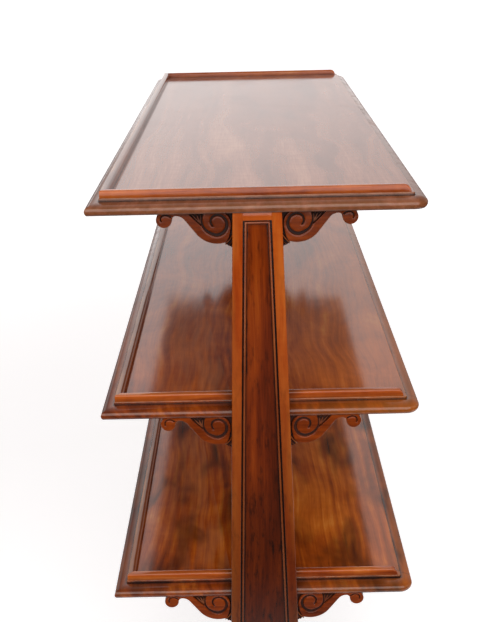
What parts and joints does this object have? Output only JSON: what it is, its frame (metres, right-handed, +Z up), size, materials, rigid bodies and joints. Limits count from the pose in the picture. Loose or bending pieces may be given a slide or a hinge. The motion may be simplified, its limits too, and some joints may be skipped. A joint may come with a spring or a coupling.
{
  "type": "tiered dumbwaiter",
  "caption": "Long mahogany dumbwaiter: moulded tiers with low gallery rails, tapered panelled end standards, carved scroll brackets and feet on castors.",
  "frame": {"origin": "on the floor under the centre of the piece's bounding box", "axes": "+X along the length, +Y across the depth towards the side with the gallery rail, +Z up"},
  "size_m": [1.407, 0.508, 1.0465],
  "materials": {
    "polished_board": "french polished mahogany, high gloss",
    "polished_moulding": "polished mahogany",
    "panel_veneer": "polished figured mahogany",
    "bead_moulding": "polished mahogany",
    "carved_wood": "waxed carved mahogany",
    "dowel_wood": "bare hardwood",
    "castor_brass": "aged brass",
    "axle_steel": "worn steel"
  },
  "bodies": {
    "cabinet": {"top_board": "polished_board", "top_back_rail": "polished_moulding", "middle_board": "polished_board", "middle_back_rail": "polished_moulding", "lower_board": "polished_board", "lower_back_rail": "polished_moulding", "top_left_rail": "polished_moulding", "middle_left_back_rail": "polished_moulding", "middle_left_front_rail": "polished_moulding", "lower_left_back_rail": "polished_moulding", "lower_left_front_rail": "polished_moulding", "top_right_rail": "polished_moulding", "middle_right_back_rail": "polished_moulding", "middle_right_front_rail": "polished_moulding", "lower_right_back_rail": "polished_moulding", "lower_right_front_rail": "polished_moulding", "left_standard_core": "panel_veneer", "left_standard_back_stile": "polished_moulding", "left_standard_front_stile": "polished_moulding", "left_standard_head_rail": "polished_moulding", "left_standard_foot_rail": "polished_moulding", "left_standard_bead": "bead_moulding", "right_standard_core": "panel_veneer", "right_standard_back_stile": "polished_moulding", "right_standard_front_stile": "polished_moulding", "right_standard_head_rail": "polished_moulding", "right_standard_foot_rail": "polished_moulding", "right_standard_bead": "bead_moulding", "top_left_back_bracket": "carved_wood", "top_left_front_bracket": "carved_wood", "top_right_back_bracket": "carved_wood", "top_right_front_bracket": "carved_wood", "middle_left_back_bracket": "carved_wood", "middle_left_front_bracket": "carved_wood", "middle_right_back_bracket": "carved_wood", "middle_right_front_bracket": "carved_wood", "lower_left_back_bracket": "carved_wood", "lower_left_front_bracket": "carved_wood", "lower_right_back_bracket": "carved_wood", "lower_right_front_bracket": "carved_wood", "left_foot": "polished_moulding", "right_foot": "polished_moulding", "tier_dowels": "dowel_wood", "left_back_castor_socket": "castor_brass", "left_front_castor_socket": "castor_brass", "right_back_castor_socket": "castor_brass", "right_front_castor_socket": "castor_brass"},
    "left_back_castor": {"left_back_castor_fork": "castor_brass", "left_back_castor_axle": "axle_steel"},
    "left_back_wheel": {"left_back_castor_wheel": "castor_brass"},
    "left_front_castor": {"left_front_castor_fork": "castor_brass", "left_front_castor_axle": "axle_steel"},
    "left_front_wheel": {"left_front_castor_wheel": "castor_brass"},
    "right_back_castor": {"right_back_castor_fork": "castor_brass", "right_back_castor_axle": "axle_steel"},
    "right_back_wheel": {"right_back_castor_wheel": "castor_brass"},
    "right_front_castor": {"right_front_castor_fork": "castor_brass", "right_front_castor_axle": "axle_steel"},
    "right_front_wheel": {"right_front_castor_wheel": "castor_brass"}
  },
  "joints": [
    {"name": "left_back_castor_swivel", "type": "hinge", "parent": "cabinet", "child": "left_back_castor", "pos_m": [-0.6775, 0.189, 0.0432], "axis": [0, 0, 1], "continuous": true},
    {"name": "left_back_wheel_roll", "type": "hinge", "parent": "left_back_castor", "child": "left_back_wheel", "pos_m": [-0.6635, 0.189, 0.017], "axis": [0, 1, 0], "continuous": true},
    {"name": "left_front_castor_swivel", "type": "hinge", "parent": "cabinet", "child": "left_front_castor", "pos_m": [-0.6775, -0.189, 0.0432], "axis": [0, 0, 1], "continuous": true},
    {"name": "left_front_wheel_roll", "type": "hinge", "parent": "left_front_castor", "child": "left_front_wheel", "pos_m": [-0.6635, -0.189, 0.017], "axis": [0, 1, 0], "continuous": true},
    {"name": "right_back_castor_swivel", "type": "hinge", "parent": "cabinet", "child": "right_back_castor", "pos_m": [0.6775, 0.189, 0.0432], "axis": [0, 0, 1], "continuous": true},
    {"name": "right_back_wheel_roll", "type": "hinge", "parent": "right_back_castor", "child": "right_back_wheel", "pos_m": [0.6635, 0.189, 0.017], "axis": [0, 1, 0], "continuous": true},
    {"name": "right_front_castor_swivel", "type": "hinge", "parent": "cabinet", "child": "right_front_castor", "pos_m": [0.6775, -0.189, 0.0432], "axis": [0, 0, 1], "continuous": true},
    {"name": "right_front_wheel_roll", "type": "hinge", "parent": "right_front_castor", "child": "right_front_wheel", "pos_m": [0.6635, -0.189, 0.017], "axis": [0, 1, 0], "continuous": true}
  ]
}
